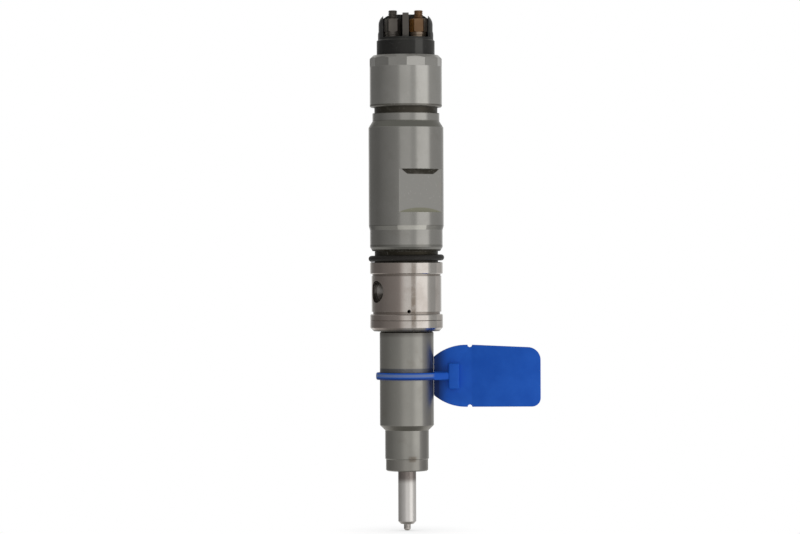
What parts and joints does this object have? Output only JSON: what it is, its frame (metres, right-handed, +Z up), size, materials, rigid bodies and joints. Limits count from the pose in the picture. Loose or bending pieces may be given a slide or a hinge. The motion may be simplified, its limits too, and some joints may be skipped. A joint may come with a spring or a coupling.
{
  "type": "fuel injector",
  "caption": "Common-rail diesel fuel injector with a side inlet, clamp flats, a long-shank nozzle, a solenoid head with screw terminals and a looped plastic seal tag.",
  "frame": {"origin": "centre of the sealing face under the nozzle retaining nut, where it sits on its copper washer in the cylinder head", "axes": "+Z up along the injector's axis from the nozzle tip to the screw terminals, -Y the side the terminal bays open towards, +X the side the seal tag points to"},
  "size_m": [0.0669, 0.0294, 0.2027],
  "materials": {
    "nozzle_steel": "ground, bright",
    "tool_steel": "ground",
    "retaining_nut_steel": "matte, slightly warm plating",
    "body_steel": "satin plating, ground on the sealing lands",
    "solenoid_nut_steel": "satin plating",
    "spring_steel": "drawn wire",
    "magnet_iron": "pressed powder",
    "ceramic_ball": "polished",
    "bobbin_plastic": "moulded",
    "winding_copper": "enamelled wire",
    "black_rubber": "matte",
    "black_plastic": "moulded, slightly worn",
    "tarnished_brass": "dark tarnish",
    "copper_brass": "worn copper-coloured plating",
    "blue_plastic": "moulded",
    "blue_insert_plastic": "moulded"
  },
  "bodies": {
    "injector": {"nozzle_body": "nozzle_steel", "adapter_plate": "tool_steel", "locating_pins": "tool_steel", "retaining_nut": "retaining_nut_steel", "injector_body": "body_steel", "body_o_ring": "black_rubber", "nozzle_spring": "spring_steel", "preload_shim": "tool_steel", "valve_piece": "tool_steel", "valve_seal_ring": "tool_steel", "valve_clamp_screw": "tool_steel", "armature_guide": "tool_steel", "armature_spring": "spring_steel", "lift_shim": "tool_steel", "magnet_core": "magnet_iron", "coil_bobbin": "bobbin_plastic", "coil_winding": "winding_copper", "valve_spring": "spring_steel", "spring_shim": "tool_steel", "magnet_sleeve": "tool_steel", "solenoid_o_ring": "black_rubber", "solenoid_nut": "solenoid_nut_steel", "terminal_block": "black_plastic", "left_terminal_stud": "tarnished_brass", "right_terminal_stud": "copper_brass"},
    "needle_train": {"nozzle_needle": "tool_steel", "spring_seat": "tool_steel", "control_piston": "tool_steel"},
    "valve_train": {"armature_bolt": "tool_steel", "valve_ball": "ceramic_ball", "ball_holder": "tool_steel", "stop_washer": "tool_steel"},
    "armature": {"armature_plate": "magnet_iron"},
    "tag": {"seal_tag": "blue_plastic", "tag_lock_insert": "blue_insert_plastic"},
    "left_washer": {"left_terminal_washer": "tarnished_brass"},
    "left_nut": {"left_terminal_nut": "tarnished_brass"},
    "right_washer": {"right_terminal_washer": "copper_brass"},
    "right_nut": {"right_terminal_nut": "copper_brass"}
  },
  "joints": [
    {"name": "needle_lift", "type": "slide", "parent": "injector", "child": "needle_train", "axis": [0, 0, 1], "range_m": [0, 0.0003], "stiffness_N_per_m": 1000, "springref_m": -0.005, "deforming": ["nozzle_spring"]},
    {"name": "valve_lift", "type": "slide", "parent": "injector", "child": "valve_train", "axis": [0, 0, 1], "range_m": [0, 0.00006], "stiffness_N_per_m": 500, "springref_m": -0.004, "deforming": ["valve_spring"]},
    {"name": "armature_overtravel", "type": "slide", "parent": "valve_train", "child": "armature", "axis": [0, 0, -1], "range_m": [0, 0.00004], "stiffness_N_per_m": 300, "springref_m": -0.002, "deforming": ["armature_spring"]},
    {"name": "tag_turn", "type": "hinge", "parent": "injector", "child": "tag", "pos_m": [0, 0, 0.0369], "axis": [0, 0, 1], "continuous": true},
    {"name": "left_nut_rise", "type": "slide", "parent": "injector", "child": "left_washer", "axis": [0, 0, 1], "range_m": [0, 0.003]},
    {"name": "left_nut_turn", "type": "hinge", "parent": "left_washer", "child": "left_nut", "pos_m": [-0.005, 0, 0.1735], "axis": [0, 0, 1], "range_deg": [0, 1800]},
    {"name": "right_nut_rise", "type": "slide", "parent": "injector", "child": "right_washer", "axis": [0, 0, 1], "range_m": [0, 0.003]},
    {"name": "right_nut_turn", "type": "hinge", "parent": "right_washer", "child": "right_nut", "pos_m": [0.005, 0, 0.1735], "axis": [0, 0, 1], "range_deg": [0, 1800]}
  ],
  "couplings": [
    {"joint": "left_nut_turn", "follows": "left_nut_rise", "rad_per_m": 10472},
    {"joint": "right_nut_turn", "follows": "right_nut_rise", "rad_per_m": 10472}
  ]
}
